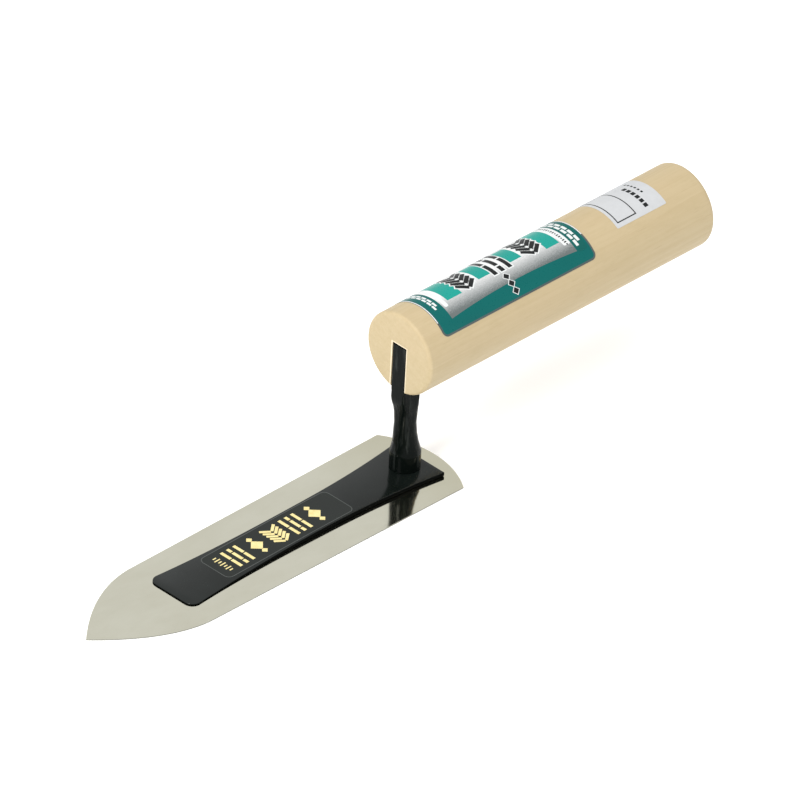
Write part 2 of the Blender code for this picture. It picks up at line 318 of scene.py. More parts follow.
@dataclass(frozen=True)
class PaleWood:
    """Straight-grained pale wood, turned and left bare: lines along the handle, arcs on its end faces."""

    name: str = "pale_wood"
    light: Color = (0.503, 0.407, 0.245)
    late: Color = (0.476, 0.377, 0.219)
    fibre: Color = (0.436, 0.343, 0.190)
    warm: Color = (0.516, 0.384, 0.228)
    pore: Color = (0.353, 0.262, 0.138)
    heart: Point = (34.0 * MM, -21.0 * MM)
    ring_pitch: float = 3.1 * MM
    ring_wander: float = 4.5 * MM
    wander_stretch: Triple = (5.0, 60.0, 60.0)
    fibre_stretch: Triple = (16.0, 950.0, 950.0)
    pore_stretch: Triple = (150.0, 3600.0, 3600.0)
    patch_stretch: Triple = (9.0, 32.0, 32.0)
    mottle_stretch: Triple = (120.0, 300.0, 300.0)
    fibre_depth: float = 0.028 * MM
    pore_depth: float = 0.02 * MM

    def build(self) -> Material:
        """Mix the finish.

        Returns:
            The finished material.
        """
        sheet = NodeSheet(self.name)
        wander = sheet.noise(sheet.place(self.wander_stretch), 1.0, 2.0)
        axes = sheet.add("ShaderNodeSeparateXYZ", {"Vector": sheet.place()})
        offset_y = sheet.math("SUBTRACT", axes.outputs["Y"], self.heart[0])
        offset_z = sheet.math("SUBTRACT", axes.outputs["Z"], self.heart[1])
        squares = sheet.math("ADD", sheet.math("POWER", offset_y, 2.0), sheet.math("POWER", offset_z, 2.0))
        bend = sheet.math("MULTIPLY", wander, self.ring_wander)
        depth = sheet.math("ADD", sheet.math("SQRT", squares), bend)
        ring = sheet.math("FRACT", sheet.math("DIVIDE", depth, self.ring_pitch))
        late = sheet.remap(sheet.math("POWER", ring, 3.0), (0.0, 1.0), (0.0, 0.55))
        fibres = sheet.noise(sheet.place(self.fibre_stretch), 1.0, 5.0, 0.65)
        pores = sheet.noise(sheet.place(self.pore_stretch), 1.0, 2.0)
        patches = sheet.noise(sheet.place(self.patch_stretch), 1.0, 3.0)
        base = sheet.mix(late, self.light, self.late)
        base = sheet.mix(sheet.remap(fibres, (0.42, 0.72), (0.0, 0.42)), base, self.fibre)
        base = sheet.mix(sheet.remap(patches, (0.35, 0.7), (0.0, 0.35)), base, self.warm)
        mottle = sheet.noise(sheet.place(self.mottle_stretch), 1.0, 4.0, 0.65)
        base = sheet.mix(sheet.remap(mottle, (0.45, 0.68), (0.0, 0.3)), base, self.fibre)
        open_pores = sheet.remap(pores, (0.66, 0.76), (0.0, 0.4))
        sheet.shade(
            Base_Color=sheet.mix(open_pores, base, self.pore),
            Roughness=sheet.remap(fibres, NOISE_CORE, (0.44, 0.58)),
            Specular_IOR_Level=0.32,
        )
        sheet.bump([(fibres, self.fibre_depth), (open_pores, -self.pore_depth)])
        return sheet.material


@dataclass(frozen=True)
class PrintedFoil:
    """A printed area of a foil label, with a fine tooth and a slow drift of its tone."""

    name: str
    color: Color
    drift: Color
    metallic: float = 0.0
    roughness: Point = (0.26, 0.36)
    specular: float = 0.12
    drift_stretch: Triple = (30.0, 60.0, 60.0)
    tooth_scale: float = 1900.0
    tooth_depth: float = 0.003 * MM

    def build(self) -> Material:
        """Mix the finish.

        Returns:
            The finished material.
        """
        sheet = NodeSheet(self.name)
        drift = sheet.noise(sheet.place(self.drift_stretch), 1.0, 2.0)
        tooth = sheet.noise(sheet.place(), self.tooth_scale, 2.0)
        sheet.shade(
            Base_Color=sheet.mix(sheet.remap(drift, NOISE_CORE, FULL), self.color, self.drift),
            Metallic=self.metallic,
            Roughness=sheet.remap(tooth, NOISE_CORE, self.roughness),
            Specular_IOR_Level=self.specular,
        )
        sheet.bump([(tooth, self.tooth_depth)])
        return sheet.material


@dataclass(frozen=True)
class SilverFade:
    """Silver foil that fades from white along its middle to grey at its long edges."""

    white: Color = (0.80, 0.80, 0.80)
    grey: Color = (0.135, 0.155, 0.153)
    middle_y: float = 3.3 * MM
    white_reach: float = 3.0 * MM
    grey_reach: float = 11.2 * MM
    ragged: float = 1.0 * MM
    grain_scale: float = 2400.0
    grain_depth: float = 0.003 * MM

    def build(self) -> Material:
        """Mix the finish.

        Returns:
            The finished material.
        """
        sheet = NodeSheet("label_silver")
        axes = sheet.add("ShaderNodeSeparateXYZ", {"Vector": sheet.place()})
        grain = sheet.noise(sheet.place(), self.grain_scale, 2.0, 0.7)
        reach = sheet.math("ABSOLUTE", sheet.math("SUBTRACT", axes.outputs["Y"], self.middle_y))
        shifted = sheet.math("ADD", reach, sheet.remap(grain, (0.25, 0.75), (-self.ragged, self.ragged)))
        fade = sheet.remap(shifted, (self.white_reach, self.grey_reach), FULL)
        sheet.shade(
            Base_Color=sheet.mix(fade, self.white, self.grey),
            Metallic=0.15,
            Roughness=sheet.remap(grain, NOISE_CORE, (0.3, 0.4)),
            Specular_IOR_Level=0.12,
        )
        sheet.bump([(grain, self.grain_depth)])
        return sheet.material


@dataclass(frozen=True)
class Paper:
    """Coated white paper."""

    color: Color = (0.535, 0.545, 0.555)
    shade_color: Color = (0.50, 0.51, 0.52)
    pulp_scale: float = 420.0
    pulp_depth: float = 0.004 * MM
    tooth_scale: float = 2200.0
    tooth_depth: float = 0.003 * MM

    def build(self) -> Material:
        """Mix the finish.

        Returns:
            The finished material.
        """
        sheet = NodeSheet("label_paper")
        pulp = sheet.noise(sheet.place(), self.pulp_scale, 5.0, 0.7)
        tooth = sheet.noise(sheet.place(), self.tooth_scale, 2.0)
        sheet.shade(
            Base_Color=sheet.mix(sheet.remap(pulp, NOISE_CORE, FULL), self.color, self.shade_color),
            Roughness=sheet.remap(tooth, NOISE_CORE, (0.5, 0.62)),
            Specular_IOR_Level=0.35,
        )
        sheet.bump([(pulp, self.pulp_depth), (tooth, self.tooth_depth)])
        return sheet.material


@dataclass(frozen=True)
class GoldPrint:
    """Pale gold ink, a little uneven where it was pressed on."""

    color: Color = (0.90, 0.78, 0.37)
    thin: Color = (0.80, 0.66, 0.27)
    uneven_scale: float = 520.0
    uneven_depth: float = 0.004 * MM

    def build(self) -> Material:
        """Mix the finish.

        Returns:
            The finished material.
        """
        sheet = NodeSheet("gold_print")
        uneven = sheet.noise(sheet.place(), self.uneven_scale, 4.0, 0.6)
        sheet.shade(
            Base_Color=sheet.mix(sheet.remap(uneven, (0.4, 0.7), FULL), self.color, self.thin),
            Metallic=0.3,
            Roughness=sheet.remap(uneven, NOISE_CORE, (0.28, 0.42)),
        )
        sheet.bump([(uneven, self.uneven_depth)])
        return sheet.material


# Mesh tools


class Pen:
    """Draws one side of an outline as a chain of edges, from the middle line out and back to it."""

    def __init__(self, x: float, y: float = 0.0) -> None:
        """Put the pen down at a point."""
        self.bm = bmesh.new()
        self.tip = self.bm.verts.new((x, y, 0.0))

    def line_to(self, x: float, y: float) -> None:
        """Draw a straight edge to a point.

        Args:
            x: where the point is along X.
            y: where it is along Y.
        """
        made = bmesh.ops.extrude_vert_indiv(self.bm, verts=[self.tip])
        self.tip = made["verts"][0]
        self.tip.co = (x, y, 0.0)

    def turn(self, centre: Point, sweep_deg: float, steps: int) -> None:
        """Draw an arc about a centre.

        Args:
            centre: the arc's centre.
            sweep_deg: the angle turned through, positive anticlockwise.
            steps: how many edges the arc has.
        """
        made = bmesh.ops.spin(
            self.bm,
            geom=[self.tip],
            cent=(*centre, 0.0),
            axis=(0.0, 0.0, 1.0),
            angle=math.radians(sweep_deg),
            steps=steps,
            use_duplicate=False,
        )
        self.tip = [part for part in made["geom_last"] if isinstance(part, BMVert)][0]

    def mirrored_face(self) -> BMesh:
        """The outline closed by its mirror image in Y and filled with one face.

        Returns:
            The pen's bmesh.
        """
        everything = self.bm.verts[:] + self.bm.edges[:]
        bmesh.ops.mirror(self.bm, geom=everything, matrix=Matrix.Identity(4), merge_dist=0.0, axis="Y")
        bmesh.ops.remove_doubles(self.bm, verts=self.bm.verts[:], dist=WELD)
        bmesh.ops.contextual_create(self.bm, geom=self.bm.edges[:])
        return self.bm


def slice_along(bm: BMesh, axis: int, places: Iterable[float]) -> None:
    """Cut every face along planes, so that a flat shape can bend there.

    Args:
        bm: the mesh.
        axis: 0 for planes across X, 1 for planes across Y.
        places: where the planes stand.
    """
    normal = Vector((0.0, 0.0, 0.0))
    normal[axis] = 1.0
    for place in places:
        everything = bm.verts[:] + bm.edges[:] + bm.faces[:]
        bmesh.ops.bisect_plane(
            bm, geom=everything, dist=FINE_WELD, plane_co=normal * place, plane_no=normal
        )


def thicken(bm: BMesh, bottom: float, top: float) -> None:
    """Make every flat face a closed slab.

    Args:
        bm: a mesh that lies at Z 0.
        bottom: the height of its underside.
        top: the height of its upper side.
    """
    made = bmesh.ops.extrude_face_region(bm, geom=bm.faces[:])
    raised = {part for part in made["geom"] if isinstance(part, BMVert)}
    for vert in bm.verts:
        vert.co.z = top if vert in raised else bottom
    bmesh.ops.recalc_face_normals(bm, faces=bm.faces[:])


def steps_between(low: float, high: float, pitch: float) -> list[float]:
    """The multiples of a pitch that lie inside a span.

    Args:
        low: the span's low end.
        high: its high end.
        pitch: the step.

    Returns:
        The places, none of them at an end.
    """
    margin = 0.01
    first, last = math.ceil(low / pitch + margin), math.floor(high / pitch - margin)
    return [pitch * i for i in range(first, last + 1)]


def smooth_between(t: float) -> float:
    """Ease from 0 to 1."""
    t = min(max(t, 0.0), 1.0)
    return t * t * (3.0 - 2.0 * t)


def bevel(bm: BMesh, geom: list, offset: float, segments: int, affect: str = "EDGES") -> None:
    """Bevel edges, or round the corners of a flat face.

    Args:
        bm: the mesh.
        geom: the edges or corner vertices.
        offset: the bevel's width.
        segments: its steps.
        affect: EDGES or VERTICES.
    """
    bmesh.ops.bevel(
        bm,
        geom=geom,
        offset=offset,
        segments=segments,
        profile=0.5,
        affect=affect,
        material=-1,
        clamp_overlap=True,
    )


def upper_rim(bm: BMesh) -> list[BMEdge]:
    """The edges where an upward face meets an upright one.

    Args:
        bm: the mesh.

    Returns:
        The edges.
    """
    bm.normal_update()
    upright_most, upward_least = 0.3, 0.7
    rim = []
    for edge in bm.edges:
        if len(edge.link_faces) == 2:
            rise = sorted(face.normal.z for face in edge.link_faces)
            if abs(rise[0]) < upright_most and rise[1] > upward_least:
                rim.append(edge)
    return rim


@dataclass(frozen=True)
class Label:
    """A piece's name, a material slot that nothing here reads, and the nodes it stands for."""

    name: str
    slot: str
    replaces: tuple[str, ...] = ()


def finish_sides(bm: BMesh) -> None:
    """Give the upright faces of a plate their second finish, a darker one that paints shade on those sides.

    Args:
        bm: the plate.
    """
    bm.normal_update()
    upright_most = 0.5
    for face in bm.faces:
        face.material_index = int(abs(face.normal.z) < upright_most)


def publish(bm: BMesh, label: Label, *finishes: Material, crease_deg: float = 30.0) -> None:
    """Make a piece of a finished bmesh and let it ride on the frame.

    Args:
        bm: the mesh, in the frame's own place.
        label: the piece's name, slot and replaced nodes.
        *finishes: its materials, in the order that its faces count them.
        crease_deg: edges sharper than this stay crisp.
    """
    bmesh.ops.dissolve_degenerate(bm, edges=bm.edges[:], dist=SLIVER)
    mesh = bpy.data.meshes.new(label.name)
    bm.to_mesh(mesh)
    bm.free()
    mesh.shade_smooth()
    mesh.set_sharp_from_angle(angle=math.radians(crease_deg))
    for finish in finishes:
        mesh.materials.append(finish)
    piece = bpy.data.objects.new(label.name, mesh)
    bpy.context.scene.collection.objects.link(piece)
    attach(piece, "root")
    if label.replaces:
        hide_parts(*label.replaces)
    LOG.info("%s: %d faces", label.name, len(mesh.polygons))


# Ornaments for the printed areas


@dataclass(frozen=True)
class Stroke:
    """One bar of an ornament, from the ornament's middle."""

    x: float
    y: float
    length: float
    width: float
    turn_deg: float = 90.0


@dataclass(frozen=True)
class BondLayout:
    """Three rows of bricks, the middle one shifted by half a brick."""

    rows: int = 3
    gap: float = 0.42  # of a brick's thickness

    def strokes(self, size: Point, stroke: float) -> list[Stroke]:
        """The bricks.

        Args:
            size: the ornament's full length along X and Y.
            stroke: how thick a brick is.

        Returns:
            One bar for each brick.
        """
        sx, sy = size
        gap = stroke * self.gap
        pitch = (sx - stroke) / (self.rows - 1)
        brick = (sy - gap) / 2
        bars = []
        for row in range(self.rows):
            x = -sx / 2 + stroke / 2 + pitch * row
            if row % 2:
                bars.append(Stroke(x, 0.0, brick, stroke))
                for side in (-1, 1):
                    bars.append(Stroke(x, side * (sy / 2 - (brick - gap) / 4), (brick - gap) / 2, stroke))
            else:
                for side in (-1, 1):
                    bars.append(Stroke(x, side * (brick + gap) / 2, brick, stroke))
        return bars


@dataclass(frozen=True)
class HerringboneLayout:
    """Slanting bricks in two columns.

    The column's place and a brick's length are shares of the ornament's width, and the thickness is
    a share of a full brick's.
    """

    rows: int = 5
    slant_deg: float = 38.0
    column: float = 0.25
    length: float = 0.56
    thickness: float = 0.86

    def strokes(self, size: Point, stroke: float) -> list[Stroke]:
        """The bricks.

        Args:
            size: the ornament's full length along X and Y.
            stroke: how thick a full brick is.

        Returns:
            One bar for each brick.
        """
        sx, sy = size
        pitch = (sy - stroke) / self.rows
        bars = []
        for row in range(self.rows):
            y = (row - (self.rows - 1) / 2) * pitch
            for side in (-1, 1):
                x, turn_deg = side * sx * self.column, side * self.slant_deg
                bars.append(Stroke(x, y, sx * self.length, stroke * self.thickness, turn_deg))
        return bars


@dataclass(frozen=True)
class DiamondLayout:
    """A diamond between two small ones; sides are shares of the ornament's width."""

    side: float = 0.56
    small_side: float = 0.26
    small_reach: float = 0.38

    def strokes(self, size: Point, stroke: float) -> list[Stroke]:
        """The diamonds.

        Args:
            size: the ornament's full length along X and Y.
            stroke: not used, because the diamonds are solid.

        Returns:
            One square bar for each diamond.
        """
        sx, sy = size
        diamonds = (
            (0.0, sx * self.side),
            (sy * self.small_reach, sx * self.small_side),
            (-sy * self.small_reach, sx * self.small_side),
        )
        return [Stroke(0.0, y, side, side, 45.0) for y, side in diamonds]


class Emblem(Enum):
    """Plain ornaments taken from brickwork, with the way each is laid out."""

    BOND = BondLayout()
    DIAMOND = DiamondLayout()
    HERRINGBONE = HerringboneLayout()


class Sketch:
    """A flat drawing of bars."""

    corner_steps: int = 6

    def __init__(self) -> None:
        """Start an empty drawing."""
        self.bm = bmesh.new()

    def bar(self, centre: Point, size: Point, turn_deg: float = 0.0, corner: float = 0.0) -> None:
        """Draw a rectangle.

        Args:
            centre: its middle.
            size: its length along X and Y before it is turned.
            turn_deg: how far it is turned.
            corner: the radius of its corners.
        """
        turn = Matrix.Rotation(math.radians(turn_deg), 4, "Z")
        matrix = Matrix.Translation((*centre, 0.0)) @ turn @ Matrix.Diagonal((*size, 1.0, 1.0))
        made = bmesh.ops.create_grid(self.bm, x_segments=1, y_segments=1, size=0.5, matrix=matrix)
        if corner:
            bevel(self.bm, made["verts"], corner, self.corner_steps, "VERTICES")

    def emblem(self, kind: Emblem, centre: Point, size: Point, stroke: float, grow: float = 0.0) -> None:
        """Draw an ornament.

        Args:
            kind: which one.
            centre: its middle.
            size: its full length along X and Y.
            stroke: how thick its lines are.
            grow: how far every line is swollen, for a halo under it.
        """
        for bar in kind.value.strokes(size, stroke):
            place = (centre[0] + bar.x, centre[1] + bar.y)
            self.bar(place, (bar.length + 2 * grow, bar.width + 2 * grow), bar.turn_deg)


# Places read from the frame


@dataclass(frozen=True)
class Span:
    """A CAD node's box: its limits along X and Z, and its far side in Y."""

    x0: float
    x1: float
    y1: float
    z0: float
    z1: float

    @classmethod
    def of(cls, node: str) -> Span:
        """The box of a CAD node."""
        low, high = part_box(node)
        return cls(low.x, high.x, high.y, low.z, high.z)

    @property
    def radius(self) -> float:
        """Half the height, which is the radius of a turned piece that lies along X."""
        return (self.z1 - self.z0) / 2

    @property
    def axis_z(self) -> float:
        """The height of its middle."""
        return (self.z0 + self.z1) / 2


# Blade


@dataclass
class Blade:
    """One thin flat sheet: a sword point, nearly parallel sides and an arched heel."""

    span: Span
    steel: Material
    cut_steel: Material
    point_length: float = 40.5 * MM
    point_half_width: float = 19.9 * MM
    point_power: float = 1.88
    tip_crowding: float = 1.2
    heel_arch: float = 6.6 * MM
    edge: float = 0.07 * MM
    point_steps: int = 36
    heel_steps: int = 40

    def outline(self) -> BMesh:
        """The sheet's outline as one flat face.

        Returns:
            A bmesh at Z 0.
        """
        pen = Pen(self.span.x0)
        for i in range(1, self.point_steps + 1):
            t = (i / self.point_steps) ** self.tip_crowding
            pen.line_to(
                self.span.x0 + self.point_length * t,
                self.point_half_width * (1 - (1 - t) ** self.point_power),
            )
        pen.line_to(self.span.x1 - self.heel_arch, self.span.y1)
        radius = (self.span.y1**2 + self.heel_arch**2) / (2 * self.heel_arch)
        sweep = math.degrees(math.asin(self.span.y1 / radius))
        pen.turn((self.span.x1 - radius, 0.0), -sweep, self.heel_steps // 2)
        return pen.mirrored_face()

    def build(self) -> None:
        """Make the blade."""
        bm = self.outline()
        thicken(bm, self.span.z0, self.span.z1)
        bevel(bm, upper_rim(bm), self.edge, 1)
        finish_sides(bm)
        publish(bm, Label("blade_sheet", "blade_steel", ("blade",)), self.steel, self.cut_steel)


# Back plate


@dataclass
class PlateShape:
    """The back plate's plan and the fall of its top, shared with what lies on it."""

    span: Span
    waist_x: float = -49.8 * MM
    waist: float = 8.03 * MM
    front_flare: float = 2.75 * MM
    front_power: float = 2.0
    rear_power: float = 2.3
    corner: float = 3.5 * MM
    corner_steps: int = 10
    front_top: float = 0.85 * MM
    taper_end_x: float = -40.0 * MM
    stations: int = 72

    def half_width(self, x: float) -> float:
        """Half the plate's width.

        Args:
            x: the place along the plate.

        Returns:
            The half width there.
        """
        if x < self.waist_x:
            along = (self.waist_x - x) / (self.waist_x - self.span.x0)
            return self.waist + self.front_flare * along**self.front_power
        along = (x - self.waist_x) / (self.span.x1 - self.waist_x)
        return self.waist + (self.span.y1 - self.waist) * along**self.rear_power

    def top(self, x: float) -> float:
        """The height of the plate's top at x."""
        eased = smooth_between((x - self.span.x0) / (self.taper_end_x - self.span.x0))
        return self.front_top + (self.span.z1 - self.front_top) * eased

    def outline(self, inset: float) -> BMesh:
        """The plan as one flat face.

        Args:
            inset: how far it is drawn inside the plate's edge.

        Returns:
            A bmesh at Z 0.
        """
        front, rear = self.span.x0 + inset, self.span.x1 - inset
        bend_x = front + self.corner
        side = self.half_width(bend_x) - inset
        pen = Pen(front)
        pen.line_to(front, side - self.corner)
        pen.turn((bend_x, side - self.corner), -90.0, self.corner_steps)
        for i in range(1, self.stations + 1):
            x = bend_x + (rear - bend_x) * i / self.stations
            pen.line_to(x, self.half_width(x) - inset)
        pen.line_to(rear, 0.0)
        return pen.mirrored_face()

    def station_xs(self) -> list[float]:
        """Where flat shapes are cut to follow the plate's fall."""
        pitch = (self.span.x1 - self.span.x0) / self.stations
        return [self.span.x0 + pitch * i for i in range(1, self.stations)]

    def lay(self, bm: BMesh, low: float, high: float) -> None:
        """Bend a flat drawing onto the plate's top.

        Args:
            bm: the flat drawing.
            low: the height of its underside over the plate.
            high: the height of its upper side over the plate.
        """
        slice_along(bm, 0, self.station_xs())
        thicken(bm, low, high)
        for vert in bm.verts:
            vert.co.z += self.top(vert.co.x)


@dataclass
class BackPlate:
    """The waisted stiffening plate, the glue line under it and the clear film with its gold print."""

    shape: PlateShape
    blade: Span
    sticker: Span
    paint: Material
    # a darker copy of the paint: painted shade on the plate's sides
    shaded_side_paint: Material
    glue: Material
    film: Material
    # lighter grey under the film's rim: painted highlight on its edge
    film_rim_highlight: Material
    gold: Material
    arris: float = 0.28 * MM
    arris_steps: int = 3
    crease_deg: float = 35.0
    bond_inset: float = 0.2 * MM
    film_corner: float = 2.4 * MM
    film_height: float = 0.06 * MM
    film_edge_share: float = 0.8
    edge_line: float = 0.35 * MM
    ink_height: float = 0.1 * MM
    motif_count: int = 5
    motif_start: float = 11.5 * MM
    motif_pitch: float = 9.1 * MM
    motif_size: Point = (7.2 * MM, 10.0 * MM)
    motif_stroke: float = 1.25 * MM
    mark_count: int = 7
    mark_start: float = 4.5 * MM
    mark_pitch: float = 1.35 * MM
    mark_lengths: Point = (1.5 * MM, 2.6 * MM)
    mark_width: float = 0.5 * MM

    def build_plate(self) -> None:
        """Make the plate and the glue line that holds it."""
        bm = self.shape.outline(0.0)
        slice_along(bm, 0, self.shape.station_xs())
        thicken(bm, self.shape.span.z0, self.shape.span.z1)
        bevel(bm, upper_rim(bm), self.arris, self.arris_steps)
        finish_sides(bm)
        self.follow_fall(bm)
        label = Label("back_plate_body", "plate_paint", ("back_plate",))
        publish(bm, label, self.paint, self.shaded_side_paint, crease_deg=self.crease_deg)

        bm = self.shape.outline(self.bond_inset)
        thicken(bm, self.blade.z1, self.shape.span.z0)
        publish(bm, Label("bond_line", "bond_glue", ("bond_film",)), self.glue)

    def follow_fall(self, bm: BMesh) -> None:
        """Lower the plate's upper edge and top towards its thin front.

        Args:
            bm: the plate, still level.
        """
        full = self.shape.span.z1 - self.arris - self.shape.span.z0
        for vert in bm.verts:
            share = min((vert.co.z - self.shape.span.z0) / full, 1.0)
            vert.co.z -= (self.shape.span.z1 - self.shape.top(vert.co.x)) * share

    def build_film(self) -> None:
        """Make the clear film with its thin bright edge, a painted highlight."""
        for name, inset, high, finish, replaced in (
            ("plate_film_rim_highlight", 0.0, self.film_height * self.film_edge_share, self.film_rim_highlight, ()),
            ("plate_film", self.edge_line, self.film_height, self.film, ("plate_sticker",)),
        ):
            drawing = Sketch()
            size = (self.sticker.x1 - self.sticker.x0 - 2 * inset, self.sticker.y1 * 2 - 2 * inset)
            middle = (self.sticker.x0 + self.sticker.x1) / 2
            drawing.bar((middle, 0.0), size, 0.0, self.film_corner - inset)
            self.shape.lay(drawing.bm, 0.0, high)
            publish(drawing.bm, Label(name, "gold_print", replaced), finish)

    def build_gold(self) -> None:
        """Make the gold ornaments: a row of small marks, then large ones."""
        kinds = (Emblem.BOND, Emblem.DIAMOND, Emblem.HERRINGBONE)
        first_x = self.sticker.x0 + self.motif_start
        for i in range(self.motif_count):
            drawing = Sketch()
            centre = (first_x + self.motif_pitch * i, 0.0)
            drawing.emblem(kinds[i % len(kinds)], centre, self.motif_size, self.motif_stroke)
            self.shape.lay(drawing.bm, self.film_height * self.film_edge_share, self.ink_height)
            publish(drawing.bm, Label(f"plate_motif_{i + 1}", "gold_print"), self.gold)
        drawing = Sketch()
        for i in range(self.mark_count):
            y = (i - (self.mark_count - 1) / 2) * self.mark_pitch
            drawing.bar((self.sticker.x0 + self.mark_start, y), (self.mark_lengths[i % 2], self.mark_width))
        self.shape.lay(drawing.bm, self.film_height * self.film_edge_share, self.ink_height)
        publish(drawing.bm, Label("plate_small_marks", "gold_print"), self.gold)

    def build(self) -> None:
        """Make the plate and everything stuck to it."""
        self.build_plate()
        self.build_film()
        self.build_gold()


# Neck


@dataclass(frozen=True)
class NeckStation:
    """One cross-section of the forging: its height, middle, half sizes and squareness."""

    z: float
    middle: float
    half_depth: float
    half_width: float
    power: float

    def values(self) -> tuple[float, float, float, float]:
        """What changes from station to station."""
        return (self.middle, self.half_depth, self.half_width, self.power)


@dataclass
class Neck:
    """A forging: round foot, waisted stem and square bar, with the tang turned back from the bar."""

    span: Span
    plate: Span
    paint: Material
    foot_radius: float = 5.45 * MM
    bar_half_depth: float = 3.55 * MM
    bar_half_width: float = 3.2 * MM
    bar_middle_x: float = -1.9 * MM
    arris: float = 0.4 * MM
    tang_middle_z: float = 50.3 * MM
    tang_half: float = 3.0 * MM
    tang_tip_half: float = 1.9 * MM
    sides: int = 72
    pitch: float = 0.7 * MM
    crease_deg: float = 40.0

    def stations(self) -> list[NeckStation]:
        """The cross-sections, from the plate up to the bar's end.

        Returns:
            One station for each height where the shape changes.
        """
        foot, bar, half, x, top = (
            self.foot_radius,
            self.bar_half_depth,
            self.bar_half_width,
            self.bar_middle_x,
            self.span.z1,
        )
        return [
            NeckStation(self.plate.z1, 0.0, foot - self.arris, foot - self.arris, 2.0),
            NeckStation(self.plate.z1 + self.arris, 0.0, foot, foot, 2.0),
            NeckStation(8.6 * MM, 0.0, foot, foot, 2.0),
            NeckStation(9.7 * MM, -0.05 * MM, 5.1 * MM, 5.1 * MM, 2.0),
            NeckStation(12.5 * MM, -0.25 * MM, 4.4 * MM, 4.4 * MM, 2.1),
            NeckStation(16.0 * MM, -0.65 * MM, 4.0 * MM, 3.9 * MM, 2.3),
            NeckStation(20.5 * MM, -0.8 * MM, 3.6 * MM, 3.5 * MM, 2.6),
            NeckStation(25.0 * MM, -0.8 * MM, 3.65 * MM, 3.5 * MM, 3.2),
            NeckStation(27.2 * MM, -0.95 * MM, 3.75 * MM, 3.6 * MM, 3.8),
            NeckStation(29.5 * MM, -1.3 * MM, bar + 0.4 * MM, 3.5 * MM, 6.0),
            NeckStation(31.2 * MM, -1.43 * MM, bar + 0.45 * MM, 3.35 * MM, 10.0),
            NeckStation(34.0 * MM, -1.45 * MM, bar + 0.45 * MM, half, 12.0),
            NeckStation(34.6 * MM, x, bar, half, 16.0),
            NeckStation(top - self.arris, x, bar, half, 16.0),
            NeckStation(top, x, bar - self.arris, half - self.arris, 16.0),
        ]

    def section(self, z: float) -> NeckStation:
        """The cross-section at any height, eased between the stations.

        Args:
            z: the height.

        Returns:
            The section there.
        """
        known = self.stations()
        for low, high in zip(known, known[1:]):
            if z <= high.z + ROUNDING:
                t = (z - low.z) / (high.z - low.z)
                pairs = zip(low.values(), high.values())
                return NeckStation(z, *(a + (b - a) * t for a, b in pairs))
        return known[-1]

    def heights(self) -> list[float]:
        """Every ring's height.

        Returns:
            The heights, from the foot up.
        """
        marks = [s.z for s in self.stations()]
        rings = [marks[0]]
        for low, high in zip(marks, marks[1:]):
            count = max(3 if high - low < 2 * self.arris else 1, round((high - low) / self.pitch))
            rings += [low + (high - low) * i / count for i in range(1, count + 1)]
        return rings

    def ring_point(self, angle: float, section: NeckStation) -> Vector:
        """A point of a cross-section.

        Args:
            angle: its direction in radians.
            section: the cross-section.

        Returns:
            The point.
        """
        c, s = math.cos(angle), math.sin(angle)
        return Vector((
            section.middle + section.half_depth * math.copysign(abs(c) ** (2 / section.power), c),
            section.half_width * math.copysign(abs(s) ** (2 / section.power), s),
            section.z,
        ))

    def build(self) -> None:
        """Make the neck."""
        heights = self.heights()
        bm = bmesh.new()
        bmesh.ops.create_circle(bm, cap_ends=True, segments=self.sides, radius=1.0)
        ring = list(bm.verts)
        angles = [math.atan2(vert.co.y, vert.co.x) + math.pi / self.sides for vert in ring]
        rim = list(bm.edges)
        for number, z in enumerate(heights):
            if number:
                made = bmesh.ops.extrude_edge_only(bm, edges=rim)["geom"]
                rim = [part for part in made if isinstance(part, BMEdge)]
                ring = [part for part in made if isinstance(part, BMVert)]
                flat = [((v.co.x - last.middle) / last.half_depth, v.co.y / last.half_width) for v in ring]
                angles = [self.unsquared(math.atan2(y, x), last.power) for x, y in flat]
            last = self.section(z)
            for vert, angle in zip(ring, angles):
                vert.co = self.ring_point(angle, last)
        bmesh.ops.contextual_create(bm, geom=rim)
        bmesh.ops.recalc_face_normals(bm, faces=bm.faces[:])
        self.draw_tang(bm)
        publish(bm, Label("neck_forging", "neck_paint", ("neck",)), self.paint, crease_deg=self.crease_deg)

    def unsquared(self, angle: float, power: float) -> float:
        """The direction that a point of a squared section was drawn from.

        Args:
            angle: the point's direction in the section scaled to unit size.
            power: the section's squareness.

        Returns:
            The direction before squaring.
        """
        c, s = math.cos(angle), math.sin(angle)
        return math.atan2(math.copysign(abs(s) ** (power / 2), s), math.copysign(abs(c) ** (power / 2), c))

    def draw_tang(self, bm: BMesh) -> None:
        """Pull the tang back out of the bar's rear face.

        Args:
            bm: the neck.
        """
        bm.normal_update()
        rearward_least = 0.95
        rear = [
            face
            for face in bm.faces
            if face.normal.x > rearward_least
            and abs(face.calc_center_median().z - self.tang_middle_z) < self.tang_half
        ]
        made = bmesh.ops.extrude_face_region(bm, geom=rear)["geom"]
        bmesh.ops.delete(bm, geom=rear, context="FACES")
        shrink = self.tang_tip_half / self.tang_half
        for vert in (part for part in made if isinstance(part, BMVert)):
            vert.co.x = self.span.x1
            vert.co.y *= shrink
            vert.co.z = self.tang_middle_z + (vert.co.z - self.tang_middle_z) * shrink


# Handle


